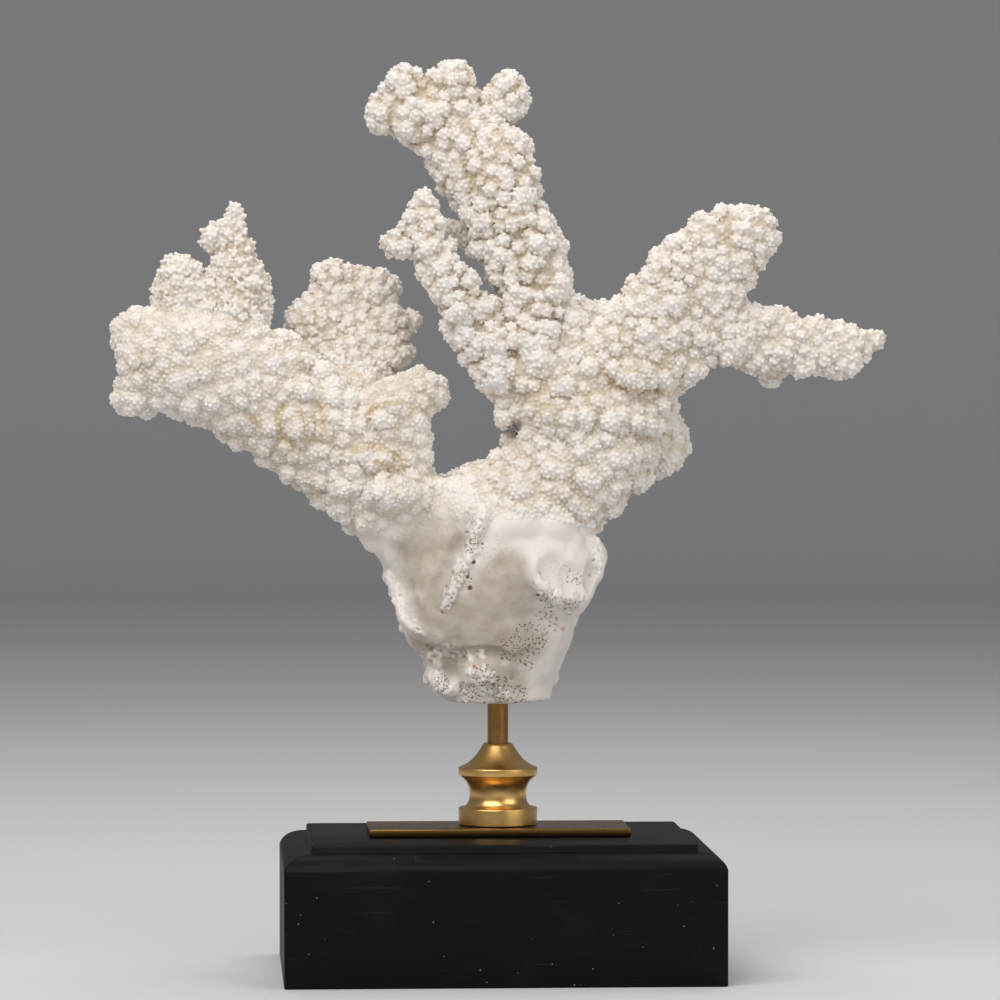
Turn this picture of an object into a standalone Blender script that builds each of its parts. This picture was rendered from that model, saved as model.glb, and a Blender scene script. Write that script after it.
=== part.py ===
"""A bleached staghorn coral skeleton on a turned brass post, a brass plate and a black wooden block.

The origin is the middle of the block's underside, +Z is up and the coral's best side faces -Y.
All sizes are in millimetres and are turned into metres by MM where a mesh is made.
"""

import math
import random

import bmesh
import bpy
from mathutils import Matrix, Vector
from mathutils.bvhtree import BVHTree

MM = 0.001
FIT_GAP = 0.3

# Wooden block: a plain body, a rounded shoulder and a low raised table on top.
BLOCK_WIDTH = 150.0
BLOCK_DEPTH = 110.0
BLOCK_HEIGHT = 47.5
SHOULDER_FOOT = 39.4
SHOULDER_HEAD = 45.0
SHOULDER_INSET = 9.0
SHOULDER_START = 10.0
SHOULDER_STEPS = 6
TABLE_INSET = 9.4

# Brass plate let down on the table.
PLATE_WIDTH = 90.0
PLATE_DEPTH = 34.0
PLATE_THICKNESS = 2.7
PLATE_EDGE = 0.25

# Turned brass collar, from its foot ring up to its mouth.
COLLAR_FOOT_RADIUS = 13.6
COLLAR_FOOT_HEIGHT = 6.0
COLLAR_NECK_RADIUS = 9.8
COLLAR_FLANGE_RADIUS = 13.7
COLLAR_FLANGE_FOOT = 16.4
COLLAR_FLANGE_HEAD = 20.2
COLLAR_MOUTH_RADIUS = 5.3
COLLAR_HEIGHT = 28.2
COLLAR_SIDES = 32

# Brass rod: it stands in the block, passes through plate and collar and ends in the coral.
ROD_RADIUS = 3.6
ROD_FOOT = 20.0
ROD_IN_CORAL = 20.0
ROD_SIDES = 20

# The coral is sawn flat here, above the collar.
CORAL_FOOT = 93.4
BEAD_SPACING = 3.0
LUMP_RISE = 2.4
CORAL_VOXEL = 1.8
CORAL_TRIANGLES = 6450
SAW_KERF = 0.3
FOOT_SAW_WIDTH = 90.0
FOOT_SAW_DEPTH = 45.0
DRILL_RUN_OUT = 5.0
SHARP_ANGLE = 50.0

# Each limb is a run of stations from root to tip: x, y and z of its middle, half its width
# across the front view and half its depth, over its lumps.
LIMBS = {
    "stump": [
        (1.5, 0, 84, 17, 16),
        (1, 0, 96, 19, 18),
        (-1, 0, 106, 22, 20),
        (-1, 0, 116, 26, 23),
        (-2, 0, 126, 31, 26),
        (-2, 0, 136, 34, 27),
        (-3, 0, 145, 32, 26),
    ],
    "left_limb": [
        (-14, 0, 141, 18, 20),
        (-27, 0, 153, 19, 19),
        (-40, -2, 166, 20, 18),
        (-55, -3, 181, 21.5, 18),
        (-71, -5, 194, 22.5, 18),
        (-86, -7, 204, 22.5, 18),
        (-102, -9, 210, 21, 17),
        (-115, -10, 211.5, 19, 15),
        (-122, -10, 212, 13, 12),
    ],
    "left_spire": [
        (-90, -5, 215, 13, 13),
        (-90, -4, 228, 13.5, 12),
        (-90.5, -3, 240, 12, 11),
        (-91.5, -3, 250, 8.5, 8),
        (-91.5, -3, 258, 6, 5.5),
        (-91, -3, 265.5, 3.6, 3.6),
    ],
    "left_fan": [
        (-52, 6, 194, 16, 13),
        (-52, 11, 207, 19, 12),
        (-52, 14, 219, 21, 12),
        (-52.5, 16, 229, 18, 11),
        (-52, 17, 236, 13, 9),
    ],
    "right_limb": [
        (6, 0, 149, 24, 23),
        (11, 0, 159, 24, 24),
        (18, 0, 168, 24, 24),
        (29, 0, 181, 27, 23),
        (34, -1, 191, 28, 22),
        (32, -2, 201, 31, 20),
        (30, -3, 209, 28, 18),
    ],
    "tall_branch": [
        (22, -3, 192, 24, 20),
        (16, -5, 206, 20, 18),
        (13, -6, 219, 16.5, 16),
        (12, -7, 231, 15, 15),
        (11, -7, 243, 15.5, 15),
        (6.5, -7, 252, 17, 15),
        (1.5, -8, 263, 15.5, 14),
        (1, -9, 275, 14, 12),
        (2, -9, 286, 10, 9),
    ],
    "crown": [
        (0, -4, 265, 15, 13),
        (-6, -1, 276, 16, 13),
        (-12, 1, 287, 16.5, 13),
        (-20, 2, 294, 14, 13),
        (-30, 2, 297, 12.5, 12),
    ],
    "side_branch": [
        (5, -10, 207, 15, 12),
        (-5, -11, 219, 12.5, 11),
        (-13, -12, 231, 10.5, 10),
        (-20, -14, 242, 9.5, 9),
        (-25, -14, 253, 8.5, 8),
        (-26.5, -13, 261, 8, 7.5),
        (-26.5, -13, 268, 5, 5),
    ],
    "paddle": [
        (42, -6, 203, 22, 17),
        (52, -9, 219, 20, 14),
        (65, -11, 236, 19.5, 12),
        (77, -12, 249, 17.5, 10.5),
        (89, -13, 256, 11.5, 8),
    ],
    "spear": [
        (66, -10, 223, 13.5, 11),
        (84, -9, 220.5, 14, 10),
        (100, -8, 218, 12.5, 9),
        (114, -7, 215.5, 12.5, 8.5),
        (124.5, -6, 216.5, 9.5, 6.5),
        (133, -5, 220.5, 4, 4),
    ],
}

# Lobes that show on their own: x, y, z and the half sizes along x, y and z.
LOBES = [
    (-17, -7, 130, 19, 19, 25),
    (13, -8, 138, 22, 20, 20),
    (27.5, -6, 141, 9.5, 13, 11),
    (-33, 3, 138, 7, 14, 6),
    (-22, -8, 116, 9, 10, 6),
    (-17, -7, 102, 8, 9, 8),
    (-109, -4, 235, 11, 9, 10),
    (-110, -5, 243, 7.5, 7, 6),
    (-98.5, -4, 254, 5, 6, 5.5),
    (-83, -2, 233, 5.5, 7, 12),
    (-125, -7, 200, 9, 9, 8.5),
    (-125, -7, 221, 9.5, 9, 9.5),
    (-36, -14, 165, 13, 9, 7),
    (-36, -5, 192, 13, 13, 14),
    (-28, -5, 201, 10, 9, 9),
    (-33, -3, 181, 11, 12, 12),
    (-66.5, 12, 224, 7.5, 9, 10),
    (-41, 13, 237, 8, 7, 8),
    (-36, 10, 226, 9, 7, 6),
    (-37, 8, 215, 8, 7, 7),
    (-57, 16, 241, 7.5, 8, 6.5),
    (-6, 4, 167, 12, 14, 10),
    (50.5, 14, 182.5, 18, 17, 13),
    (33, 22, 218, 8, 10, 15),
    (-32.5, 2, 307.5, 7, 8, 7.5),
    (-15.5, 1, 308, 8.2, 8, 8.5),
    (3, 0, 303, 8, 8, 9.5),
    (-40, 3, 297.5, 6.5, 7, 8),
    (-34, -12, 252, 9, 6, 5),
    (-7, 6, 254, 8, 5, 6),
    (95, 0, 206, 4.5, 5, 4.5),
    (66, -12, 209, 6, 6, 5),
]

# Lumps of fused branchlets wind round every limb but the worn stump.
BARE_LIMBS = ("stump",)
LUMP_RADIUS = 5.6
LUMP_RADIUS_SPREAD = 0.15
LUMP_PITCH = 11.0
LUMP_HEIGHTS = (0.7, 1.25)
THIN_LIMB_RISE = 0.3
THIN_LIMB_LUMP = 0.55
LUMP_SEED = 11
GOLDEN_ANGLE = math.pi * (3 - math.sqrt(5))

# Saw cuts at the main forks: the piece above the cut, the y of the limb there, and where
# the saw goes in and comes out in the front view as (x, z).
CUTS = {
    "left_limb": (0, (-39, 139.6), (-15, 174)),
    "right_limb": (0, (37, 152), (-19.5, 167)),
    "left_spire": (-4, (-120, 232.5), (-75.6, 225)),
    "left_fan": (10, (-30.8, 204), (-74.5, 218)),
    "crown": (-5, (-18, 267.5), (16.5, 270.5)),
    "spear": (-9, (94, 237), (70, 209)),
    "paddle": (-8, (38, 231), (68, 206)),
    "side_branch": (-12, (-18, 216), (-2.5, 236)),
    "tall_branch": (-6, (-6, 203), (28, 232)),
}


# The station of each limb that lies well inside its own piece.
MARKED = {
    "stump": 3,
    "left_limb": 4,
    "left_spire": 3,
    "left_fan": 3,
    "right_limb": 3,
    "tall_branch": 3,
    "crown": 2,
    "side_branch": 3,
    "paddle": 3,
    "spear": 2,
}


def clear_scene():
    for thing in list(bpy.data.objects):
        bpy.data.objects.remove(thing)


def material(name, colour, roughness, metallic):
    made = bpy.data.materials.new(name)
    made.use_nodes = True
    shader = made.node_tree.nodes["Principled BSDF"]
    shader.inputs["Base Color"].default_value = (*colour, 1.0)
    shader.inputs["Roughness"].default_value = roughness
    shader.inputs["Metallic"].default_value = metallic
    return made


def add_object(name, mesh, finish):
    """An object of that mesh in the scene, with its finish."""
    mesh.materials.clear()
    mesh.materials.append(finish)
    thing = bpy.data.objects.new(name, mesh)
    bpy.context.scene.collection.objects.link(thing)
    return thing


def mesh_from(shape, name):
    """A mesh in metres from a bmesh in millimetres."""
    bmesh.ops.transform(shape, matrix=Matrix.Scale(MM, 4), verts=shape.verts)
    mesh = bpy.data.meshes.new(name)
    shape.to_mesh(mesh)
    shape.free()
    return mesh


def smooth(mesh):
    mesh.shade_smooth()
    mesh.set_sharp_from_angle(angle=math.radians(SHARP_ANGLE))
    return mesh


# Stand


def ring_of(shape, half_x, half_y, z):
    corners = ((-1, -1), (1, -1), (1, 1), (-1, 1))
    return [shape.verts.new((half_x * x, half_y * y, z)) for x, y in corners]


def stack_rings(shape, rings):
    """Closes a stack of four-cornered rings, from the lowest to the highest."""
    for low, high in zip(rings, rings[1:]):
        for i in range(4):
            j = (i + 1) % 4
            shape.faces.new((low[i], low[j], high[j], high[i]))
    shape.faces.new(list(reversed(rings[0])))
    shape.faces.new(rings[-1])


def block_outline():
    """(inset, z) of the block's side from the floor to its raised table."""
    outline = [(0.0, 0.0), (0.0, SHOULDER_FOOT)]
    rise = SHOULDER_HEAD - SHOULDER_FOOT
    start = math.radians(SHOULDER_START)
    for step in range(1, SHOULDER_STEPS + 1):
        turn = start + (math.pi / 2 - start) * step / SHOULDER_STEPS
        across = (math.cos(start) - math.cos(turn)) / math.cos(start)
        up = (math.sin(turn) - math.sin(start)) / (1 - math.sin(start))
        outline.append((SHOULDER_INSET * across, SHOULDER_FOOT + rise * up))
    outline.append((TABLE_INSET, BLOCK_HEIGHT))
    return outline


def make_block(finish):
    shape = bmesh.new()
    rings = [
        ring_of(shape, BLOCK_WIDTH / 2 - inset, BLOCK_DEPTH / 2 - inset, z)
        for inset, z in block_outline()
    ]
    stack_rings(shape, rings)
    block = add_object("wood_block", mesh_from(shape, "wood_block"), finish)
    hole_foot = ROD_FOOT - FIT_GAP
    drill(block, ROD_RADIUS + FIT_GAP, hole_foot, BLOCK_HEIGHT + DRILL_RUN_OUT)


def make_plate(finish):
    shape = bmesh.new()
    foot = BLOCK_HEIGHT + FIT_GAP
    head = foot + PLATE_THICKNESS
    half_x, half_y = PLATE_WIDTH / 2, PLATE_DEPTH / 2
    rings = [
        ring_of(shape, half_x, half_y, foot),
        ring_of(shape, half_x, half_y, head - PLATE_EDGE),
        ring_of(shape, half_x - PLATE_EDGE, half_y - PLATE_EDGE, head),
    ]
    stack_rings(shape, rings)
    plate = add_object("brass_plate", mesh_from(shape, "brass_plate"), finish)
    drill(plate, ROD_RADIUS + FIT_GAP, foot - DRILL_RUN_OUT, head + DRILL_RUN_OUT)


def collar_outline():
    """(radius, height) round the collar's section: up its bore, then down its outside."""
    bore = ROD_RADIUS + FIT_GAP
    neck_foot, neck_head = COLLAR_FOOT_HEIGHT, COLLAR_FLANGE_FOOT
    flange = COLLAR_FLANGE_RADIUS
    return [
        (bore, 0.0),
        (bore, COLLAR_HEIGHT),
        (COLLAR_MOUTH_RADIUS - 0.7, COLLAR_HEIGHT),
        (COLLAR_MOUTH_RADIUS, COLLAR_HEIGHT - 0.6),
        (COLLAR_MOUTH_RADIUS + 1.2, COLLAR_HEIGHT - 2.2),
        (COLLAR_MOUTH_RADIUS + 2.9, COLLAR_HEIGHT - 4.6),
        (COLLAR_MOUTH_RADIUS + 5.6, COLLAR_FLANGE_HEAD + 0.6),
        (flange - 1.9, COLLAR_FLANGE_HEAD),
        (flange - 0.4, COLLAR_FLANGE_HEAD),
        (flange, COLLAR_FLANGE_HEAD - 0.4),
        (flange, neck_head + 1.2),
        (flange - 1.4, neck_head),
        (COLLAR_NECK_RADIUS + 0.9, neck_head - 1.9),
        (COLLAR_NECK_RADIUS, neck_head - 4.6),
        (COLLAR_NECK_RADIUS + 0.2, neck_foot + 2.6),
        (COLLAR_NECK_RADIUS + 1.4, neck_foot + 0.5),
        (COLLAR_FOOT_RADIUS - 0.8, neck_foot),
        (COLLAR_FOOT_RADIUS, neck_foot - 0.5),
        (COLLAR_FOOT_RADIUS, 0.0),
    ]


def turn_profile(shape, outline, sides, foot):
    """Turns a closed section about the Z axis."""
    columns = []
    for side in range(sides):
        angle = 2 * math.pi * side / sides
        columns.append(
            [
                shape.verts.new((r * math.cos(angle), r * math.sin(angle), foot + z))
                for r, z in outline
            ]
        )
    count = len(outline)
    for side, column in enumerate(columns):
        after = columns[(side + 1) % sides]
        for i in range(count):
            j = (i + 1) % count
            shape.faces.new((column[i], column[j], after[j], after[i]))
    bmesh.ops.recalc_face_normals(shape, faces=shape.faces)


def make_collar(finish):
    shape = bmesh.new()
    foot = BLOCK_HEIGHT + PLATE_THICKNESS + 2 * FIT_GAP
    turn_profile(shape, collar_outline(), COLLAR_SIDES, foot)
    add_object("brass_collar", smooth(mesh_from(shape, "brass_collar")), finish)


def cylinder(radius, foot, head, sides):
    shape = bmesh.new()
    bmesh.ops.create_cone(
        shape,
        cap_ends=True,
        segments=sides,
        radius1=radius,
        radius2=radius,
        depth=head - foot,
        matrix=Matrix.Translation((0, 0, (head + foot) / 2)),
    )
    return shape


def make_rod(finish):
    head = CORAL_FOOT + ROD_IN_CORAL
    mesh = mesh_from(cylinder(ROD_RADIUS, ROD_FOOT, head, ROD_SIDES), "brass_rod")
    add_object("brass_rod", smooth(mesh), finish)


def cutter(name, mesh):
    """A shape that only cuts: it is hidden from renders and from the build."""
    tool = bpy.data.objects.new(name, mesh)
    bpy.context.scene.collection.objects.link(tool)
    tool.hide_render = True
    tool.display_type = "WIRE"
    return tool


def subtract(thing, tool):
    cut = thing.modifiers.new(tool.name, "BOOLEAN")
    cut.operation = "DIFFERENCE"
    cut.solver = "EXACT"
    cut.object = tool


def drill(thing, radius, foot, head):
    shape = cylinder(radius, foot, head, ROD_SIDES)
    name = thing.name + "_hole"
    subtract(thing, cutter(name, mesh_from(shape, name)))


# Coral


def spline(stations, spacing):
    """Stations read from a smooth curve through the given ones, about spacing apart."""
    rows = [Vector(row[:3]) for row in stations]
    first, last = stations[0], stations[-1]
    padded = [first, *stations, last]
    run = []
    for i in range(len(stations) - 1):
        p0, p1, p2, p3 = padded[i : i + 4]
        steps = max(2, round((rows[i + 1] - rows[i]).length / spacing))
        for step in range(steps):
            t = step / steps
            run.append(
                tuple(
                    0.5
                    * (
                        2 * b
                        + (c - a) * t
                        + (2 * a - 5 * b + 4 * c - d) * t * t
                        + (3 * b - a - 3 * c + d) * t * t * t
                    )
                    for a, b, c, d in zip(p0, p1, p2, p3)
                )
            )
    run.append(last)
    return run


def add_ball(shape, middle, half_sizes, detail=2):
    matrix = Matrix.Translation(middle) @ Matrix.Diagonal((*half_sizes, 1.0))
    bmesh.ops.create_icosphere(shape, subdivisions=detail, radius=1.0, matrix=matrix)


def add_limb(shape, name, stations, rng):
    """Beads along the limb's curve, with lumps of branchlets wound round it."""
    bare = name in BARE_LIMBS
    run = spline(stations, BEAD_SPACING)
    travelled, turned = 0.0, rng.uniform(0, 2 * math.pi)
    for i, (x, y, z, half_width, half_depth) in enumerate(run):
        middle = Vector((x, y, z))
        rise = 0.0 if bare else min(LUMP_RISE, THIN_LIMB_RISE * half_width)
        wide, deep = half_width - rise, half_depth - rise
        add_ball(shape, middle, (wide, deep, wide))
        if bare or i == 0:
            continue
        along = middle - Vector(run[i - 1][:3])
        travelled += along.length
        across = along.cross(Vector((0, 1, 0))).normalized()
        behind = across.cross(along).normalized()
        per_turn = 2 * math.pi * (wide + deep) / 2 / LUMP_PITCH
        while travelled > LUMP_PITCH / per_turn:
            travelled -= LUMP_PITCH / per_turn
            turned += GOLDEN_ANGLE
            radius = min(LUMP_RADIUS, THIN_LIMB_LUMP * half_width)
            radius *= 1 + LUMP_RADIUS_SPREAD * rng.uniform(-1, 1)
            sunk = radius - rise * rng.uniform(*LUMP_HEIGHTS)
            spot = middle + across * math.cos(turned) * (wide - sunk)
            spot += behind * math.sin(turned) * (deep - sunk)
            add_ball(shape, spot, (radius, radius, radius))


def saw_foot(coral):
    """Saws the whole coral flat at its foot and drills it for the rod."""
    shape = bmesh.new()
    middle = Matrix.Translation((0, 0, CORAL_FOOT - FOOT_SAW_DEPTH / 2))
    box = Matrix.Diagonal((FOOT_SAW_WIDTH, FOOT_SAW_WIDTH, FOOT_SAW_DEPTH, 1.0))
    bmesh.ops.create_cube(shape, size=1.0, matrix=middle @ box)
    subtract(coral, cutter("foot_saw", mesh_from(shape, "foot_saw")))
    hole_head = CORAL_FOOT + ROD_IN_CORAL + FIT_GAP
    drill(coral, ROD_RADIUS + FIT_GAP, CORAL_FOOT - DRILL_RUN_OUT, hole_head)


def fuse_coral():
    """All limbs, lumps and lobes as one fused surface."""
    rng = random.Random(LUMP_SEED)
    shape = bmesh.new()
    for name, stations in LIMBS.items():
        add_limb(shape, name, stations, rng)
    for x, y, z, half_x, half_y, half_z in LOBES:
        add_ball(shape, (x, y, z), (half_x, half_y, half_z), detail=3)
    coral = cutter("coral_whole", mesh_from(shape, "coral_whole"))
    fuse = coral.modifiers.new("fuse", "REMESH")
    fuse.mode = "VOXEL"
    fuse.voxel_size = CORAL_VOXEL * MM
    soften = coral.modifiers.new("soften", "SMOOTH")
    soften.factor = 0.5
    soften.iterations = 2
    graph = bpy.context.evaluated_depsgraph_get()
    mesh = bpy.data.meshes.new_from_object(coral.evaluated_get(graph))
    triangles = sum(len(face.vertices) - 2 for face in mesh.polygons)
    thin = coral.modifiers.new("thin", "DECIMATE")
    thin.ratio = CORAL_TRIANGLES / triangles
    return coral


def cap_holes(shape):
    """Closes every open loop with flat triangles."""
    rims = [edge for edge in shape.edges if edge.is_boundary]
    caps = bmesh.ops.holes_fill(shape, edges=rims)["faces"]
    bmesh.ops.triangulate(shape, faces=caps, ngon_method="EAR_CLIP")


def faces_round(shape, start, square):
    """The ring of faces that a plane crosses on its way round the limb at the start."""

    def crossed(edge):
        below, above = sorted((vert.co - start).dot(square) for vert in edge.verts)
        return below <= 0 < above

    met = [face for face in shape.faces if any(crossed(edge) for edge in face.edges)]
    first = min(met, key=lambda face: (face.calc_center_median() - start).length)
    ring, fresh = {first}, [first]
    while fresh:
        for edge in filter(crossed, fresh.pop().edges):
            near = set(edge.link_faces) - ring
            ring |= near
            fresh.extend(near)
    return ring


def saw_limb(shape, y, start, end):
    """Saws through one limb and draws both sides back by half the width of the saw."""
    start, end = Vector((start[0], y, start[1])), Vector((end[0], y, end[1]))
    along = (end - start).normalized()
    square = Vector((-along.z, 0, along.x))
    for parts in (shape.verts, shape.edges, shape.faces):
        parts.index_update()
    faces = sorted(faces_round(shape, start, square), key=by_index)
    edges = sorted({edge for face in faces for edge in face.edges}, key=by_index)
    verts = sorted({vert for face in faces for vert in face.verts}, key=by_index)
    cut = bmesh.ops.bisect_plane(
        shape, geom=[*verts, *edges, *faces], plane_co=start, plane_no=square
    )["geom_cut"]
    rim = [item for item in cut if isinstance(item, bmesh.types.BMEdge)]
    split = bmesh.ops.split_edges(shape, edges=rim)["edges"]
    for vert in {vert for edge in split for vert in edge.verts}:
        ways = [face.calc_center_median() - vert.co for face in vert.link_faces]
        side = sum(way.dot(square) for way in ways)
        vert.co += square * math.copysign(SAW_KERF / 2, side)
    cap_holes(shape)


def sawn_coral(coral):
    """The coral in millimetres as a bmesh, sawn at its foot and its main forks."""
    saw_foot(coral)
    graph = bpy.context.evaluated_depsgraph_get()
    mesh = bpy.data.meshes.new_from_object(coral.evaluated_get(graph))
    shape = bmesh.new()
    shape.from_mesh(mesh)
    bmesh.ops.transform(shape, matrix=Matrix.Scale(1 / MM, 4), verts=shape.verts)
    for cut in CUTS.values():
        saw_limb(shape, *cut)
    return shape


def by_index(item):
    return item.index


def bodies_of(shape):
    """The separate bodies of a bmesh, each as a list of its vertices."""
    shape.verts.index_update()
    seen = set()
    for first in shape.verts:
        if first in seen:
            continue
        body, fresh = {first}, [first]
        while fresh:
            vert = fresh.pop()
            near = {edge.other_vert(vert) for edge in vert.link_edges} - body
            body |= near
            fresh.extend(near)
        seen |= body
        yield sorted(body, key=by_index)


def piece_of(body):
    """A bmesh of its own from one body of the sawn coral."""
    piece = bmesh.new()
    copies = {vert: piece.verts.new(vert.co) for vert in body}
    faces = {face for vert in body for face in vert.link_faces}
    for face in sorted(faces, key=by_index):
        piece.faces.new([copies[vert] for vert in face.verts])
    piece.normal_update()
    return piece


def make_coral(finish):
    """One object for each sawn piece, named after the limb whose marked station it holds."""
    whole = sawn_coral(fuse_coral())
    whole.faces.index_update()
    pieces = [piece_of(body) for body in bodies_of(whole)]
    whole.free()
    trees = [BVHTree.FromBMesh(piece) for piece in pieces]
    for name, station in MARKED.items():
        spot = LIMBS[name][station][:3]
        # The skin that is nearest to a spot inside a piece is that piece's own.
        own = min(range(len(pieces)), key=lambda i: trees[i].find_nearest(spot)[3])
        mesh = mesh_from(pieces[own], "coral_" + name)
        add_object("coral_" + name, smooth(mesh), finish)


def main():
    clear_scene()
    wood = material("black wood", (0.012, 0.012, 0.013), 0.42, 0.0)
    brass = material("satin brass", (0.62, 0.42, 0.17), 0.3, 1.0)
    skeleton = material("coral skeleton", (0.80, 0.76, 0.70), 0.85, 0.0)
    make_block(wood)
    make_plate(brass)
    make_collar(brass)
    make_rod(brass)
    make_coral(skeleton)


main()
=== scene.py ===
"""Looks of the staghorn coral skeleton on its brass post, brass plate and black wooden block."""

import math

import bmesh
import bpy
import numpy as np
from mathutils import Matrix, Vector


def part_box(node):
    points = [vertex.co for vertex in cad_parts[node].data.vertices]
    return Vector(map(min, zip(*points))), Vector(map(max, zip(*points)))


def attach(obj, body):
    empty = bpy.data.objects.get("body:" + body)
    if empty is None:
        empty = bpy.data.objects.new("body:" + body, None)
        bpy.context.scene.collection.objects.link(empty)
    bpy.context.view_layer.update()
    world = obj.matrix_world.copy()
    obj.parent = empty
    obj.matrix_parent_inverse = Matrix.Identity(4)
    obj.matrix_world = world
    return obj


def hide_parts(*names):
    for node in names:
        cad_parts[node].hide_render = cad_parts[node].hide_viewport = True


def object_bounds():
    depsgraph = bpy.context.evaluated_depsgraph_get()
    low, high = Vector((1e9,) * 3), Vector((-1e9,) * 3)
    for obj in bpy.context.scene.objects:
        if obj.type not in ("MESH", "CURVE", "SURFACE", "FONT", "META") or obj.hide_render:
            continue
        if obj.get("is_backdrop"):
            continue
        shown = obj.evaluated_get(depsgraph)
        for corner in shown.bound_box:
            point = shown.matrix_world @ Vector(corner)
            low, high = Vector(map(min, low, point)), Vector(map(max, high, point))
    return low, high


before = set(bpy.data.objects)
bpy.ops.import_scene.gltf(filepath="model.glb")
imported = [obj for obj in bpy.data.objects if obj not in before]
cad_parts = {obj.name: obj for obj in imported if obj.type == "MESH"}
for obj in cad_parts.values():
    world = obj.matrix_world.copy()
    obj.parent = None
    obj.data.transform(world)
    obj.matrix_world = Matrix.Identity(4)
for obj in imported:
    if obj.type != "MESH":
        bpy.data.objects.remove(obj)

import openvdb
from mathutils import Vector
from mathutils.bvhtree import BVHTree

CAD_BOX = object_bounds()
MM = 0.001

# Camera. FOCUS is its focal length in pixels of the photograph, and places are in millimetres.
LENS = 189.4
SENSOR = 36.0
PHOTO_MIDDLE = 500.0
FOCUS = LENS / SENSOR * 2 * PHOTO_MIDDLE
CAMERA_PLACE = (-101.1, -1820.2, 208.5)
CAMERA_DOWN = 0.0248
CAMERA_RIGHT = 0.0559

# Coral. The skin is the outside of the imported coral; all sizes are in millimetres.
GRID_PITCH = 0.43
SKIN_PITCH = 1.0
SKIN_REACH = 8.0
SAW_GAP_CLOSING = 0.35
SKIN_BLUR = 1
OWNER_PITCH = 2
GRID_MARGIN = 3.0
BOX_CLEARANCE = 0.1
ROD_CLEARANCE = 0.3
SKIRT_DEPTH = 2.2
TRIANGLES_IN_ALL = 830000
GROWTH_SEED = 7

# Studio, in metres. Each softbox has its place, aim, size, power and colour.
FLOOR_RADIUS = 3.0
FLOOR_SIDES = 96
RIM_HEIGHT = 1.2
RIM_STEPS = 12
SOFTBOXES = {
    "key": ((-0.7, -1.1, 1.45), (0.0, 0.0, 0.26), (1.7, 1.5), 30.0, (1.0, 0.98, 0.96)),
    "fill": ((1.2, -1.1, 0.85), (0.05, 0.0, 0.25), (1.3, 1.2), 10.0, (1.0, 0.99, 0.98)),
    "top": ((0.1, 0.4, 1.4), (0.0, 0.0, 0.2), (1.2, 0.8), 8.0, (1.0, 1.0, 1.0)),
}

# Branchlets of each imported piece: their spacing, head radius, how far the head stands out
# of the skin and how deep the crevices go. Then its cups: their spacing, radius and how far
# their tips stand out. Last comes the way that the limb grows.
GROWTH = {
    "coral_stump": ((9.0, 3.0, 0.2, 0.3), (1.45, 0.70, 0.62), (0, 0, 1)),
    "coral_left_limb": ((5.6, 3.5, 0.2, 0.9), (1.40, 0.69, 0.64), (-0.8, 0, 0.6)),
    "coral_left_spire": ((4.2, 2.2, 0.4, 0.9), (1.60, 0.74, 0.86), (0, 0, 1)),
    "coral_left_fan": ((4.4, 2.6, 0.4, 1.1), (1.45, 0.71, 0.68), (0, 0, 1)),
    "coral_right_limb": ((5.6, 3.4, 0.3, 1.1), (1.55, 0.77, 0.72), (0.4, 0, 0.8)),
    "coral_tall_branch": ((4.9, 2.8, 0.6, 2.0), (1.50, 0.75, 0.74), (-0.1, 0, 1)),
    "coral_crown": ((5.0, 2.9, 0.5, 1.7), (1.45, 0.73, 0.70), (-0.4, 0, 0.9)),
    "coral_side_branch": ((4.9, 2.7, 0.5, 1.8), (1.50, 0.75, 0.73), (-0.5, 0, 0.8)),
    "coral_paddle": ((4.7, 2.7, 0.4, 1.2), (1.50, 0.74, 0.70), (0.6, 0, 0.8)),
    "coral_spear": ((4.4, 2.5, 0.3, 0.9), (1.50, 0.74, 0.68), (1, 0, 0.1)),
}
BRANCHLET_LEAN = 0.45
BRANCHLET_ROOT = 3.0
BRANCHLET_JOIN = 0.4
CUP_LEAN = 0.3
CUP_ROOT = 1.8
CUP_JOIN = 0.2
HOLE_JOIN = 0.2

# The rest is placed by pixels of the photograph, (u, v), on the coral's front.
# The worn foot lies below this line, which is given with how softly the cups fade there.
WORN_LINE = [
    (300, 560, 12), (345, 548, 16), (395, 530, 22), (440, 520, 22), (470, 520, 14),
    (487, 527, 3), (492, 523, 3), (535, 519, 3), (561, 521, 3), (580, 529, 3),
    (600, 543, 3), (640, 560, 4),
]

# Lobes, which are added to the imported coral, and notches, which are cut through it from
# front to back: place, depth and radius in pixels.
LOBES = [
    (334, 271, 14, 12), (358, 275, 14, 11), (384, 290, 12, 13), (411, 322, 10, 9),
    (404, 349, 9, 9), (430, 392, -4, 18), (418, 380, -6, 13), (700, 222, -12, 9),
    (752, 219, -13, 9), (764, 252, -12, 5), (453, 226, 0, 7), (464, 236, 0, 8),
    (476, 249, 0, 9), (701, 362, -6, 9), (582, 312, 14, 12), (588, 328, 12, 13),
    (846, 333, -7, 8), (862, 336, -6, 7), (876, 337, -6, 5),
    (142, 404, -5, 13), (131, 380, -5, 10), (388, 577, 0, 6), (403, 628, 2, 5),
    (432, 652, 0, 6), (430, 677, 0, 7), (553, 680, 0, 6),
]
NOTCHES = [
    (306, 262, 14, 6), (344, 262, 14, 4), (395, 268, 12, 7), (405, 308, 10, 4),
    (413, 337, 9, 4), (112, 367, -5, 5), (512, 428, 2, 7), (728, 200, -12, 4),
    (784, 222, -12, 8), (786, 246, -12, 6), (790, 268, -12, 10),
]
NOTCH_REACH = 16.0

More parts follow.
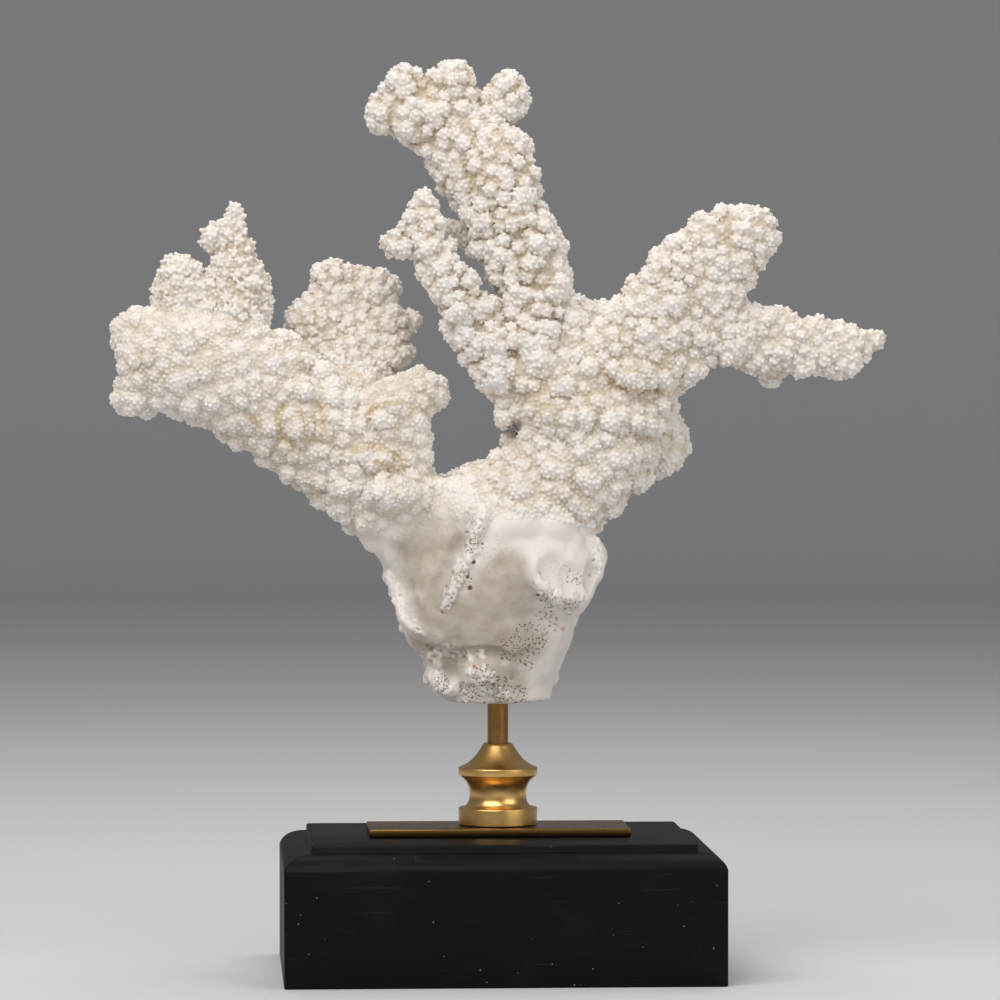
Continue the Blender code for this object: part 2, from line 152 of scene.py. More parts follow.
# Rounded ridges and furrows: their line, their radius and how far they stand out or go in.
LIMB_RIDGES = [
    ([(610, 368), (630, 378), (652, 380), (668, 378)], 5.0, 1.4),
    ([(612, 412), (636, 424), (664, 424), (684, 414)], 5.0, 1.4),
    ([(530, 402), (560, 416), (590, 418)], 5.0, 1.2),
    ([(372, 492), (388, 490), (404, 488)], 4.4, 3.0),
]
LIMB_FURROWS = [
    ([(602, 369), (610, 380), (618, 388), (633, 393), (650, 392), (672, 393)], 2.8, 1.6),
    ([(600, 426), (623, 436), (645, 438), (662, 438), (684, 430)], 2.6, 1.2),
    ([(512, 346), (508, 366), (512, 388), (520, 406)], 2.4, 1.8),
    ([(566, 322), (560, 338), (556, 356)], 2.4, 2.0),
    ([(596, 300), (590, 322), (584, 340)], 2.4, 2.2),
    ([(306, 362), (314, 372), (322, 384)], 2.4, 2.0),
    ([(360, 478), (380, 470), (402, 468)], 2.2, 1.6),
    ([(470, 296), (474, 312), (476, 330)], 2.2, 2.0),
    ([(640, 470), (656, 462), (672, 456)], 2.4, 1.2),
]
FOOT_RIDGES = [
    ([(500, 528), (520, 526), (540, 526), (562, 530), (580, 538)], 5.0, 0.5),
    ([(592, 542), (601, 551), (604, 562), (603, 576), (598, 588)], 3.4, 0.8),
    ([(531, 562), (533, 574), (546, 587), (562, 595), (576, 599), (590, 594)], 4.0, 1.1),
    ([(444, 490), (460, 498), (470, 509), (472, 521), (465, 536)], 5.0, 0.9),
    ([(390, 577), (396, 590), (401, 606), (406, 619)], 3.0, 0.8),
    ([(404, 616), (413, 627), (424, 634), (436, 640)], 3.0, 0.9),
    ([(434, 658), (438, 663)], 3.0, 1.6),
    ([(437, 676), (438, 682)], 3.8, 1.8),
    ([(446, 690), (452, 692)], 2.8, 1.0),
    ([(462, 672), (480, 674), (494, 680)], 6.5, 1.6),
    ([(484, 512), (477, 528), (471, 547), (463, 563), (456, 580), (449, 596)], 2.4, 0.5),
]
FOOT_FURROWS = [
    ([(476, 510), (470, 526), (463, 547), (455, 562), (447, 577), (440, 592), (434, 606)], 3.4, 1.5),
    ([(424, 645), (440, 653), (460, 655), (480, 652), (500, 654), (512, 664)], 1.9, 1.5),
    ([(447, 657), (453, 668), (451, 682)], 1.5, 1.3),
    ([(546, 570), (560, 573), (574, 578)], 8.0, 1.3),
    ([(592, 566), (591, 577), (589, 587)], 2.6, 2.2),
    ([(406, 580), (410, 600), (416, 616)], 4.0, 0.8),
    ([(510, 690), (516, 670), (524, 652)], 3.0, 0.7),
]
LINE_WANDER = 1.4
BACK_FADE = 14.0

# Crumbly bands of the worn foot: their line, half their width, and their crumbs and holes.
CRUMBLY = [
    ([(484, 508), (478, 526), (472, 545), (465, 562), (458, 578), (451, 592), (446, 608)], 6.5, 230, 150),
    ([(536, 582), (552, 596), (566, 601), (582, 602), (592, 594)], 8.0, 130, 60),
    ([(598, 548), (602, 566), (598, 584)], 6.0, 60, 20),
    ([(386, 576), (396, 592), (401, 608), (408, 622), (424, 634)], 6.0, 90, 24),
    ([(430, 652), (446, 648), (462, 650), (484, 656)], 8.0, 60, 30),
    ([(432, 660), (431, 676), (440, 692)], 7.0, 110, 36),
    ([(448, 692), (478, 690), (508, 690)], 8.0, 90, 60),
    ([(470, 672), (490, 676)], 9.0, 40, 24),
]
# Holes: place and radius.
HOLES = [
    (474, 562, 0.75), (470, 588, 0.85), (468, 577, 0.6), (481, 519, 0.6), (538, 595, 0.6),
    (541, 601, 0.5), (551, 612, 0.55), (549, 588, 0.4), (463, 566, 0.5), (452, 598, 0.5),
]
# Knobs that stand on the limbs: place, radius in pixels and how far they stand out.
KNOBS = [
    (294, 426, 11, 1.6), (262, 405, 8, 1.2), (322, 418, 9, 1.5), (343, 440, 10, 1.5),
    (362, 452, 8, 1.2), (396, 405, 10, 1.8), (379, 417, 9, 1.5), (352, 470, 9, 1.3),
    (330, 455, 8, 1.2), (378, 492, 9, 1.4), (400, 488, 9, 1.4), (300, 390, 12, 1.0),
    (348, 400, 12, 1.4), (457, 167, 10, 1.8), (459, 143, 9, 1.4), (424, 138, 9, 1.4),
    (453, 188, 9, 1.4), (545, 395, 16, 1.0), (600, 405, 15, 1.2), (655, 350, 12, 1.2),
    (560, 455, 15, 0.8), (610, 460, 14, 1.0), (648, 332, 12, 1.2), (625, 352, 12, 1.4),
]
# Patches of the foot with pores, whose dark colour is painted shade: place and radius in pixels.
POROUS = [
    (512, 650, 20), (530, 638, 24), (546, 622, 18), (526, 660, 16), (500, 690, 20), (486, 676, 18),
    (518, 694, 14), (468, 692, 16), (548, 600, 12), (574, 578, 12), (440, 684, 14), (570, 606, 12),
    (474, 545, 14), (464, 578, 12), (480, 520, 16), (478, 706, 14),
]
# Patches of the foot with faint, shallow pits, painted as darker dots of shade: place and radius in
# pixels.
GRAINY = [
    (440, 530, 46), (420, 575, 40), (425, 610, 30), (500, 562, 26), (506, 584, 18),
    (460, 505, 30), (560, 575, 22), (490, 545, 16),
]
# Lines of tan stain around the knobs and along furrows, which also carry painted shade in those furrows.
STAINS_AND_SHADE_LINES = [
    [(284, 404), (276, 418), (280, 436), (292, 444)], [(300, 412), (306, 424), (303, 440)],
    [(318, 402), (324, 418), (322, 436)], [(366, 414), (382, 404), (398, 402)],
    [(352, 452), (372, 446), (392, 452), (406, 460)], [(376, 462), (392, 466), (404, 470)],
    [(246, 416), (258, 424)], [(602, 370), (618, 389), (650, 392), (668, 393)],
    [(592, 566), (591, 577), (589, 588)], [(430, 648), (452, 656), (476, 652)],
    [(446, 656), (452, 668), (450, 682)],
]
STAIN_AND_SHADE_WIDTH = 6.0
# Darker patches of the foot, partly dust and partly painted shade where less light reaches its middle:
# place and radius in pixels.
DUST_AND_SHADE_PATCHES = [
    (500, 600, 56), (470, 625, 50), (515, 640, 40), (440, 610, 44), (425, 645, 30),
    (430, 570, 44), (452, 655, 30), (490, 655, 30), (508, 570, 30), (440, 535, 40),
    (418, 545, 34), (462, 512, 26), (505, 680, 30),
]
PINK_DOTS = [(563, 629, 2.6), (474, 666, 2.6), (558, 592, 1.5), (565, 603, 1.3)]

CORAL_NODES = sorted(GROWTH)


def camera_ways():
    """The camera's right, up and forward, as unit vectors."""
    right = np.array((math.cos(CAMERA_RIGHT), -math.sin(CAMERA_RIGHT), 0.0))
    level = math.cos(CAMERA_DOWN)
    ahead = np.array((
        math.sin(CAMERA_RIGHT) * level, math.cos(CAMERA_RIGHT) * level, -math.sin(CAMERA_DOWN)
    ))
    return right, np.cross(right, ahead), ahead


def seen_at(u, v, y):
    """The place that a pixel of the photograph shows at a distance y from the front view."""
    right, above, ahead = camera_ways()
    u, v, y = (np.asarray(value, float) for value in (u, v, y))
    way = (
        ahead
        + right * ((u - PHOTO_MIDDLE) / FOCUS)[..., None]
        + above * ((PHOTO_MIDDLE - v) / FOCUS)[..., None]
    )
    return np.array(CAMERA_PLACE) + way * ((y - CAMERA_PLACE[1]) / way[..., 1])[..., None]


def pixels_of(places):
    """The pixels of the photograph that show those places."""
    right, above, ahead = camera_ways()
    from_camera = places - np.array(CAMERA_PLACE)
    far = from_camera @ ahead
    u = PHOTO_MIDDLE + FOCUS * (from_camera @ right) / far
    v = PHOTO_MIDDLE - FOCUS * (from_camera @ above) / far
    return u, v


def eased(share):
    share = np.clip(share, 0.0, 1.0)
    return share * share * (3 - 2 * share)


def unit(ways):
    return ways / np.maximum(np.linalg.norm(ways, axis=-1, keepdims=True), 1e-6)


# The coral is grown as clay on a grid


def soft_min(first, second, join):
    """The smaller of two distances, rounded where they meet."""
    share = np.maximum(join - np.abs(first - second), 0.0) / join
    return np.minimum(first, second) - share * share * join * 0.25


class Clay:
    """Distances to a skin at the points of a grid: less than zero is inside."""

    def __init__(self, low, pitch, values):
        self.low = np.asarray(low, np.float64)
        self.pitch = pitch
        self.values = values

    def points_near(self, reach):
        """Grid points within that distance of the skin: their numbers and places."""
        found = np.argwhere(np.abs(self.values) < reach)
        return found, self.low + found * self.pitch

    def sample(self, places):
        """The distance at any places, read between the grid points."""
        where = (np.asarray(places) - self.low) / self.pitch
        last = np.array(self.values.shape) - 2
        cell = np.clip(np.floor(where).astype(np.int64), 0, last)
        part = np.clip(where - cell, 0.0, 1.0).astype(np.float32)
        total = np.zeros(len(where), np.float32)
        for corner in np.ndindex(2, 2, 2):
            share = np.ones(len(where), np.float32)
            for axis, side in enumerate(corner):
                share *= part[:, axis] if side else 1 - part[:, axis]
            total += share * self.values[tuple((cell + corner).T)]
        return total

    def outward(self, places, reach=1.0):
        """The way out of the clay at those places, read over that many grid steps."""
        steps = self.pitch * reach * np.eye(3)
        ways = [self.sample(places + step) - self.sample(places - step) for step in steps]
        return unit(np.stack(ways, axis=1))

    def window(self, low, high):
        """The grid between two corners: its slices and its coordinates."""
        first = np.maximum(np.floor((low - self.low) / self.pitch).astype(int), 0)
        last = np.ceil((high - self.low) / self.pitch).astype(int) + 1
        last = np.maximum(np.minimum(last, self.values.shape), first)
        cut, axes = [], []
        for axis in range(3):
            cut.append(slice(first[axis], last[axis]))
            form = [1, 1, 1]
            form[axis] = -1
            line = self.low[axis] + self.pitch * np.arange(first[axis], last[axis])
            axes.append(line.astype(np.float32).reshape(form))
        return tuple(cut), axes

    def finger(self, root, head, root_radius, head_radius, join):
        """A round-ended finger: the slices of the grid near it and the distances to it."""
        reach = max(root_radius, head_radius) + join + self.pitch
        low = np.minimum(root, head) - reach
        high = np.maximum(root, head) + reach
        near, (x, y, z) = self.window(low, high)
        run = head - root
        x, y, z = x - root[0], y - root[1], z - root[2]
        along = (x * run[0] + y * run[1] + z * run[2]) / float(run @ run)
        along = np.clip(along, 0.0, 1.0)
        gap = (x - along * run[0]) ** 2 + (y - along * run[1]) ** 2 + (z - along * run[2]) ** 2
        return near, np.sqrt(gap) - (root_radius + along * (head_radius - root_radius))

    def ball(self, centre, radius, join):
        reach = radius + join + self.pitch
        near, (x, y, z) = self.window(centre - reach, centre + reach)
        gap = (x - centre[0]) ** 2 + (y - centre[1]) ** 2 + (z - centre[2]) ** 2
        return near, np.sqrt(gap) - radius

    def add(self, form, *measures):
        """Adds a finger or a ball. The last of its measures is how softly it joins."""
        near, there = form(*measures)
        self.values[near] = soft_min(self.values[near], there, measures[-1])

    def cut(self, form, *measures):
        near, there = form(*measures)
        self.values[near] = -soft_min(-self.values[near], there, measures[-1])

    def seen_skin(self, u, v, behind=False):
        """The places that pixels show on the clay's front, or else on its back behind them."""
        y = np.zeros(len(u))
        way = -1 if behind else 1
        last = np.array(self.values.shape) - 1
        near_side = self.low[1] + self.pitch * last[1] * behind
        rows = np.arange(len(u))
        for _ in range(3):
            places = seen_at(u, v, y)
            cell = np.clip(np.rint((places - self.low) / self.pitch).astype(int), 0, last)
            columns = self.values[cell[:, 0], ::way, cell[:, 2]]
            first = (columns < 0).argmax(axis=1)
            there = (columns < 0).any(axis=1) & (first > 0)
            inner, outer = columns[rows, first], columns[rows, np.maximum(first - 1, 0)]
            share = outer / np.maximum(outer - inner, 1e-6)
            y = np.where(there, near_side + way * self.pitch * (first - 1 + share), 0.0)
        return seen_at(u, v, y)[there]


def refined(values, shape, ratio):
    """Values of a coarse grid read on a finer one that starts at the same corner."""
    for axis in range(3):
        where = np.arange(shape[axis]) * ratio
        cell = np.minimum(where.astype(np.int64), values.shape[axis] - 2)
        form = [1, 1, 1]
        form[axis] = -1
        part = (where - cell).astype(np.float32).reshape(form)
        low = np.take(values, cell, axis=axis)
        high = np.take(values, cell + 1, axis=axis)
        values = low + (high - low) * part
    return values


def blurred(values, times):
    """Each point becomes the mean of itself and its neighbours along each axis."""
    for axis in list(range(3)) * times:
        before = np.roll(values, 1, axis=axis)
        after = np.roll(values, -1, axis=axis)
        values = (before + 2 * values + after) * 0.25
    return values


def waves(clay, size, seed):
    """Smooth random heights between -1 and 1 on the clay's grid, about that size across."""
    rng = np.random.default_rng(seed)
    shape = clay.values.shape
    coarse = [int(count * clay.pitch / size) + 3 for count in shape]
    return refined(rng.uniform(-1, 1, coarse).astype(np.float32), shape, clay.pitch / size)


def read_mesh(mesh):
    """Corners and triangles of a mesh."""
    mesh.calc_loop_triangles()
    corners = np.empty(len(mesh.vertices) * 3, np.float32)
    mesh.vertices.foreach_get("co", corners)
    triangles = np.empty(len(mesh.loop_triangles) * 3, np.int32)
    mesh.loop_triangles.foreach_get("vertices", triangles)
    return corners.reshape(-1, 3), triangles.reshape(-1, 3)


def packed_coral():
    """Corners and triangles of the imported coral, and the piece that each triangle is of."""
    pieces = []
    first = 0
    for index, name in enumerate(CORAL_NODES):
        places, faces = read_mesh(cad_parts[name].data)
        pieces.append((places / MM, faces + first, np.full(len(faces), index)))
        first += len(places)
    return [np.concatenate(parts) for parts in zip(*pieces)]


def skin_of(corners, triangles):
    """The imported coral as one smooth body: saw gaps closed and facets blurred."""
    margin = GRID_MARGIN + SKIN_PITCH
    low = corners.min(axis=0) - margin
    shape = np.ceil((corners.max(axis=0) + margin - low) / SKIN_PITCH).astype(int) + 1
    points = ((corners - low) / SKIN_PITCH).astype(np.float32)
    sawn = openvdb.FloatGrid.createLevelSetFromPolygons(
        points, triangles=triangles.astype(np.uint32)
    )
    points, three, four = sawn.convertToPolygons(isovalue=SAW_GAP_CLOSING / SKIN_PITCH)
    whole = openvdb.FloatGrid.createLevelSetFromPolygons(
        points, triangles=three, quads=four, halfWidth=SKIN_REACH / SKIN_PITCH
    )
    values = np.empty(tuple(shape), np.float32)
    whole.copyToArray(values)
    values = blurred(values, SKIN_BLUR) * SKIN_PITCH + SAW_GAP_CLOSING
    return Clay(low, SKIN_PITCH, values)


def nearest_piece(corners, triangles, owners):
    """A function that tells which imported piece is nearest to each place."""
    tree = BVHTree.FromPolygons(corners.tolist(), triangles.tolist())

    def owner_at(places):
        return np.array([owners[tree.find_nearest(place)[2]] for place in places.tolist()])

    return owner_at


def rough_owner(skin, owner_at):
    """The same read from a coarse table, which is quicker and good enough for growth."""
    table = skin.values[::OWNER_PITCH, ::OWNER_PITCH, ::OWNER_PITCH]
    near = np.argwhere(np.abs(table) < SKIN_REACH * 0.8)
    pieces = np.zeros(table.shape, np.int16)
    pitch = skin.pitch * OWNER_PITCH
    pieces[tuple(near.T)] = owner_at(skin.low + near * pitch)
    last = np.array(table.shape) - 1

    def rough_owner_at(places):
        cell = np.clip(np.rint((places - skin.low) / pitch).astype(int), 0, last)
        return pieces[tuple(cell.T)]

    return rough_owner_at


def worn_at(places):
    """1 on the worn foot and 0 on the beaded limbs. The change is softer at the back."""
    u, v, fade = np.array(WORN_LINE, float).T
    line = seen_at(u, v, -15.0)
    x, y, z = places.T
    behind = eased(0.5 + y / 16.0)
    sway = 3.0 * np.sin(x * 0.21 + 1.0) + 2.0 * np.sin(x * 0.55 + z * 0.1)
    height = np.interp(x, line[:, 0], line[:, 2]) + behind * sway
    fade = np.interp(x, line[:, 0], fade)
    fade += behind * (BACK_FADE - fade)
    return eased(0.5 + (height - z) / fade)


def spread(clay, found, spacing, rng):
    """Numbers of grid points, drawn at random, that keep that spacing from each other."""
    reach = int(math.ceil(spacing / clay.pitch))
    steps = np.arange(-reach, reach + 1)
    gap = steps[:, None, None] ** 2 + steps[None, :, None] ** 2 + steps[None, None, :] ** 2
    ball = gap * clay.pitch**2 < spacing**2
    taken = np.zeros(np.array(clay.values.shape) + 2 * reach, bool)
    kept = []
    order = rng.permutation(len(found))
    for number, (i, j, k) in zip(order.tolist(), found[order].tolist()):
        if taken[i + reach, j + reach, k + reach]:
            continue
        kept.append(number)
        last = 2 * reach + 1
        taken[i : i + last, j : j + last, k : k + last] |= ball
    return np.array(kept, int)


def sunk_skin(skin, pitch, owner_at):
    """The skin on the fine grid, let in where branchlets will stand on it."""
    found, places = skin.points_near(4.0)
    depth = np.array([GROWTH[name][0][3] for name in CORAL_NODES], np.float32)
    sunk = np.zeros(skin.values.shape, np.float32)
    share = (1 - worn_at(places)).astype(np.float32)
    sunk[tuple(found.T)] = depth[owner_at(places)] * share
    sunk = blurred(sunk, 2)
    ratio = pitch / SKIN_PITCH
    shape = ((np.array(skin.values.shape) - 1) / ratio).astype(int)
    return Clay(skin.low, pitch, refined(skin.values + sunk, shape, ratio))


def seated(clay, roots, lean, growth):
    """Roots moved onto the clay, and ways out of it that lean the way that the limb grows."""
    outward = clay.outward(roots)
    roots = roots - outward * clay.sample(roots)[:, None]
    return roots, unit(outward + lean * unit(np.array(growth, float)))


def grow_branchlets(clay, skin, owner_at, rng):
    """Short fingers all over the limbs, leaning the way that the limb grows."""
    found, places = skin.points_near(SKIN_PITCH * 0.6)
    owners = owner_at(places)
    for index, name in enumerate(CORAL_NODES):
        (spacing, radius, rise, depth), _, growth = GROWTH[name]
        here = np.flatnonzero(owners == index)
        kept = here[spread(skin, found[here], spacing * 0.84, rng)]
        kept = kept[worn_at(places[kept]) < 0.3]
        roots = places[kept] + rng.uniform(-0.4, 0.4, (len(kept), 3))
        roots, lean = seated(skin, roots, BRANCHLET_LEAN, growth)
        sizes = radius * rng.uniform(0.72, 1.2, len(kept))
        rises = rise + depth * rng.uniform(-0.5, 0.35, len(kept))
        for root, out, size, height in zip(roots, lean, sizes, rises):
            head = root + out * (height - size)
            foot = root - out * (BRANCHLET_ROOT + size)
            clay.add(clay.finger, foot, head, size * 0.7, size, BRANCHLET_JOIN)


def grow_cups(clay, owner_at, rng):
    """The small cups that cover every branchlet."""
    found, places = clay.points_near(clay.pitch * 0.5)
    owners = owner_at(places)
    worn = worn_at(places)
    for index, name in enumerate(CORAL_NODES):
        _, (spacing, radius, stand), growth = GROWTH[name]
        here = np.flatnonzero((owners == index) & (worn < 0.97))
        kept = here[spread(clay, found[here], spacing, rng)]
        roots, lean = seated(clay, places[kept], CUP_LEAN, growth)
        sizes = radius * rng.uniform(0.8, 1.12, len(kept))
        stands = stand * rng.uniform(0.65, 1.3, len(kept)) - worn[kept] * (stand + 0.15)
        for root, out, size, height in zip(roots, lean, sizes, stands - sizes):
            foot, head = root - out * CUP_ROOT, root + out * height
            clay.add(clay.finger, foot, head, size, size, CUP_JOIN)


def along(line, step=1.5):
    """Pixels along a line of the photograph, that many pixels apart."""
    line = np.array(line, float)
    lengths = np.linalg.norm(np.diff(line, axis=0), axis=1)
    marks = np.concatenate([[0.0], np.cumsum(lengths)])
    where = np.linspace(0.0, marks[-1], max(int(marks[-1] / step), 1) + 1)
    return np.interp(where, marks, line[:, 0]), np.interp(where, marks, line[:, 1])


def balls_along(clay, lines, smallest, rng, behind):
    """Balls on wandering lines on the clay: each one's place, way into it and radius.

    How far they stand out of the clay, or go into it, varies and fades at the lines' ends.
    """
    for line, radius, height in lines:
        u, v = along(line)
        shift = rng.normal(0, LINE_WANDER, (2, len(u)))
        places = clay.seen_skin(u + shift[0], v + shift[1], behind)
        turn = np.linspace(0, 1, len(places))
        ends = eased(0.25 + np.minimum(turn, 1 - turn) * 3.0)
        ways = clay.outward(places)
        heights = height * (ends * rng.uniform(0.4, 1.15, len(places)))
        sizes = radius * rng.uniform(smallest, 1.1, len(places))
        for place, out, rise, size in zip(places, ways, heights, sizes):
            yield place, out * (size - rise), size


def raise_ridges(clay, ridges, join, rng, behind=False):
    for place, sink, size in balls_along(clay, ridges, 0.6, rng, behind):
        clay.add(clay.ball, place - sink, size, join)


def press_furrows(clay, furrows, join, rng, behind=False):
    for place, lift, size in balls_along(clay, furrows, 0.75, rng, behind):
        clay.cut(clay.ball, place + lift, size, join)


def crumble(clay, rng, behind):
    """Rough crumbs and small holes along the foot's crumbly bands."""
    for line, width, crumb_count, hole_count in CRUMBLY:
        band = np.stack(along(line, 0.5), axis=1)
        crumbs = band[rng.integers(0, len(band), crumb_count)]
        shift = rng.normal(0, width * 0.45, crumbs.shape)
        places = clay.seen_skin(*(crumbs + shift).T, behind)
        sizes = rng.uniform(0.45, 1.35, len(places))
        for place, out, size in zip(places, clay.outward(places), sizes):
            clay.add(clay.ball, place - out * size * 0.6, size, 0.7)
        holes = band[rng.integers(0, len(band), hole_count)]
        holes = holes + rng.normal(0, width * 0.6, holes.shape)
        for place in clay.seen_skin(*holes.T, behind):
            clay.cut(clay.ball, place, rng.uniform(0.3, 0.65), HOLE_JOIN)
    for u, v, radius in HOLES:
        for place in clay.seen_skin([u], [v], behind):
            out = clay.outward(place[None])[0]
            clay.cut(clay.ball, place, radius, HOLE_JOIN)
            clay.cut(clay.ball, place - out * radius, radius * 0.9, HOLE_JOIN)


def wear_foot(clay):
    """Shallow hollows with soft edges between them, all over the worn foot."""
    hollows = 0.5 * np.abs(waves(clay, 5.0, 5)) + 0.25 * np.abs(waves(clay, 2.4, 6))
    found, places = clay.points_near(2.0)
    found = tuple(found.T)
    clay.values[found] += hollows[found] * worn_at(places).astype(np.float32)


def shape_limbs(skin, rng):
    """Lobes, notches, knobs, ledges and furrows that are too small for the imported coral."""
    size_of = -CAMERA_PLACE[1] / FOCUS
    deep = np.array((0.0, NOTCH_REACH, 0.0))
    for u, v, y, radius in LOBES:
        skin.add(skin.ball, seen_at(u, v, y), radius * size_of, 2.0)
    for u, v, y, radius in NOTCHES:
        middle = seen_at(u, v, y)
        size = radius * size_of
        skin.cut(skin.finger, middle - deep, middle + deep, size, size, 1.5)
    for u, v, radius, rise in KNOBS:
        size = radius * size_of
        for place in skin.seen_skin([u], [v]):
            out = skin.outward(place[None])[0]
            skin.add(skin.ball, place - out * (size - rise), size, 1.5)
    raise_ridges(skin, LIMB_RIDGES, 2.0, rng)
    press_furrows(skin, LIMB_FURROWS, 1.5, rng)


def trim(clay):
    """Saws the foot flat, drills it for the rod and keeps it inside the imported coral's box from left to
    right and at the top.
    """
    ends = [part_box(name) for name in CORAL_NODES]
    low = np.min([end[0] for end in ends], axis=0) / MM
    high = np.max([end[1] for end in ends], axis=0) / MM
    far_corner = clay.low + clay.pitch * np.array(clay.values.shape)
    x, y, z = clay.window(clay.low, far_corner)[1]
    hold = BOX_CLEARANCE
    for limit in (low[2] - z, low[0] + hold - x, x - high[0] + hold, z - high[2] + hold):
        np.maximum(clay.values, limit, out=clay.values)
    rod_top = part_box("brass_rod")[1] / MM
    bore = np.sqrt(x * x + y * y) - rod_top[0] - ROD_CLEARANCE
    bore = np.maximum(bore, z - rod_top[2] - ROD_CLEARANCE)
    np.maximum(clay.values, -bore, out=clay.values)


def mesh_of(clay):
    """Corners and triangles of the clay's skin."""
    near = clay.pitch * 3
    grid = openvdb.FloatGrid(near)
    grid.copyFromArray(np.clip(clay.values, -near, near))
    points, three, four = grid.convertToPolygons()
    places = (clay.low + points.astype(np.float64) * clay.pitch) * MM
    faces = np.concatenate([three, four[:, (0, 1, 2)], four[:, (0, 2, 3)]])
    return places, faces.astype(np.int32)


def largest_body(places, faces):
    """The biggest connected skin, without loose crumbs and sealed hollows."""
    label = np.arange(len(places))
    ends = np.concatenate([faces[:, :2], faces[:, 1:]])
    while True:
        first, second = label[ends[:, 0]], label[ends[:, 1]]
        low = np.minimum(first, second)
        lowered = label.copy()
        np.minimum.at(lowered, first, low)
        np.minimum.at(lowered, second, low)
        lowered = lowered[lowered]
        if np.array_equal(lowered, label):
            break
        label = lowered
    whole = np.bincount(label[faces[:, 0]]).argmax()
    used, faces = np.unique(faces[label[faces[:, 0]] == whole], return_inverse=True)
    return places[used], faces.reshape(-1, 3).astype(np.int32)


def add_mesh(name, places, faces):
    """A mesh of triangles."""
    mesh = bpy.data.meshes.new(name)
    mesh.vertices.add(len(places))
    mesh.vertices.foreach_set("co", places.astype(np.float32).ravel())
    mesh.loops.add(faces.size)
    mesh.loops.foreach_set("vertex_index", faces.ravel())
    mesh.polygons.add(len(faces))
    mesh.polygons.foreach_set("loop_start", np.arange(0, faces.size, 3, dtype=np.int32))
    mesh.update(calc_edges=True)
    return mesh


def add_thing(name, data, finish=None):
    thing = bpy.data.objects.new(name, data)
    bpy.context.scene.collection.objects.link(thing)
    if finish:
        data.materials.append(finish)
    return thing


def place_piece(name, mesh, finish, node):
    """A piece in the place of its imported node."""
    piece = add_thing(name, mesh, finish)
    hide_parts(node)
    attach(piece, "root")


def thinned(places, faces):
    """The same skin with fewer triangles: its corners and triangles."""
    thing = add_thing("coral_whole", add_mesh("coral_whole", places, faces))
    if len(faces) > TRIANGLES_IN_ALL:
        thin = thing.modifiers.new("thin", "DECIMATE")
        thin.ratio = TRIANGLES_IN_ALL / len(faces)
    view = bpy.context.evaluated_depsgraph_get()
    mesh = bpy.data.meshes.new_from_object(thing.evaluated_get(view))
    bpy.data.objects.remove(thing)
    corners, triangles = read_mesh(mesh)
    bpy.data.meshes.remove(mesh)
    return corners, triangles


def rims_of(faces):
    """The open rims of some triangles, each a list of corners in turn."""
    edges = np.concatenate([faces[:, (0, 1)], faces[:, (1, 2)], faces[:, (2, 0)]]).astype(np.int64)
    width = int(faces.max()) + 1
    there = edges @ (width, 1)
    back = edges @ (1, width)
    after = {}
    for start, end in edges[~np.isin(there, back)].tolist():
        after.setdefault(end, []).append(start)
    rims = []
    while after:
        first = min(after)
        rim = [first]
        while True:
            here = rim[-1]
            following = after[here].pop()
            if not after[here]:
                del after[here]
            if following == first:
                break
            rim.append(following)
        rims.append(rim)
    return rims


def add_coral_piece(name, corners, triangles, normals, marks, finish):
    """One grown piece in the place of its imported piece, with its sawn rims closed.

    A rim is closed by a skirt that goes into the coral and a fan to the middle of the skirt.
    """
    used, faces = np.unique(triangles, return_inverse=True)
    faces = faces.reshape(-1, 3).astype(np.int32)
    sources = [used]
    moves = [np.zeros((len(used), 3), np.float32)]
    extra = []
    count = len(used)
    for rim in rims_of(faces):
        ring = used[rim]
        inward = -normals[ring] * SKIRT_DEPTH * MM
        middle = (corners[ring] + inward).mean(axis=0)
        size = len(rim)
        turn = np.arange(size)
        after = (turn + 1) % size
        rim = np.array(rim)
        skirt = count + turn
        extra.append(np.stack([rim, rim[after], skirt[after]], axis=1))
        extra.append(np.stack([rim, skirt[after], skirt], axis=1))
        extra.append(np.stack([skirt, skirt[after], np.full(size, count + size)], axis=1))
        sources += [ring, ring[:1]]
        moves += [inward, (middle - corners[ring[0]])[None]]
        count += size + 1
    sources = np.concatenate(sources)
    faces = np.concatenate([faces] + extra).astype(np.int32)
    mesh = add_mesh("grown_" + name, corners[sources] + np.concatenate(moves), faces)
    mesh.shade_smooth()
    mesh.normals_split_custom_set_from_vertices(normals[sources])
    for mark, values in marks.items():
        layer = mesh.attributes.new(mark, "FLOAT", "POINT")
        layer.data.foreach_set("value", values[sources].astype(np.float32))
    place_piece("grown_" + name, mesh, finish, name)


def in_spots(u, v, spots):
    """1 in the middle of round patches and 0 outside them."""
    share = np.zeros(len(u))
    for spot_u, spot_v, radius in spots:
        gap = np.hypot(u - spot_u, v - spot_v) / radius
        share = np.maximum(share, eased(1.6 * (1 - gap)))
    return share


def near_lines(u, v, lines, width):
    share = np.zeros(len(u))
    for line in lines:
        for (u0, v0), (u1, v1) in zip(line, line[1:]):
            length = (u1 - u0) ** 2 + (v1 - v0) ** 2
            part = np.clip(((u - u0) * (u1 - u0) + (v - v0) * (v1 - v0)) / length, 0, 1)
            gap = np.hypot(u - u0 - part * (u1 - u0), v - v0 - part * (v1 - v0))
            share = np.maximum(share, eased(1 - gap / width))
    return share


